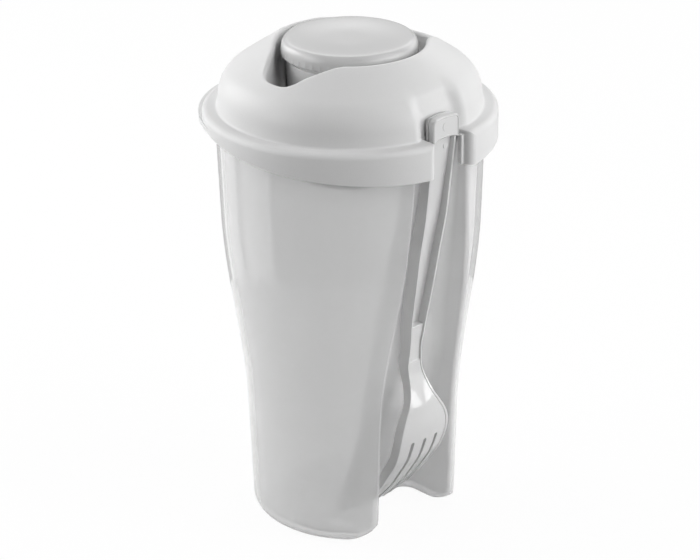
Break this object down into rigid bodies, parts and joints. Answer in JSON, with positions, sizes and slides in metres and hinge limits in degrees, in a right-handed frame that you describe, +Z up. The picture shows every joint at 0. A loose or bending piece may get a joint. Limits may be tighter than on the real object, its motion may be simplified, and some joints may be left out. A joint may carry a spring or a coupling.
{
  "type": "salad cup",
  "caption": "Tall frosted salad cup with a fork in its front groove, a domed lid with finger scoops, and a dressing pot with a screw cap.",
  "frame": {"origin": "centre of the round cup on the flat face that it stands on", "axes": "+Z up along the cup's axis, -Y towards the fork, +X to the right seen from the fork's side"},
  "size_m": [0.1144, 0.1179, 0.1983],
  "materials": {
    "cup": "frosted clear, smooth gloss outside",
    "dome_lid": "fine matte",
    "dressing_pot": "fine matte",
    "dressing_cap": "fine matte",
    "fork": "glossy"
  },
  "bodies": {
    "cup": {"cup": "cup"},
    "dome_lid": {"dome_lid": "dome_lid"},
    "dressing_pot": {"dressing_pot": "dressing_pot"},
    "dressing_cap": {"dressing_cap": "dressing_cap"},
    "fork": {"fork": "fork"}
  },
  "joints": [
    {"name": "lid_lift", "type": "slide", "parent": "cup", "child": "dome_lid", "axis": [0, 0, 1], "range_m": [0, 0.03]},
    {"name": "pot_lift", "type": "slide", "parent": "dome_lid", "child": "dressing_pot", "axis": [0, 0, 1], "range_m": [0, 0.054]},
    {"name": "cap_unscrew", "type": "hinge", "parent": "dressing_pot", "child": "dressing_cap", "pos_m": [0, 0, 0.192], "axis": [0, 0, 1], "range_deg": [0, 360]},
    {"name": "fork_pull", "type": "slide", "parent": "cup", "child": "fork", "axis": [0, -1, 0], "range_m": [0, 0.05]}
  ]
}
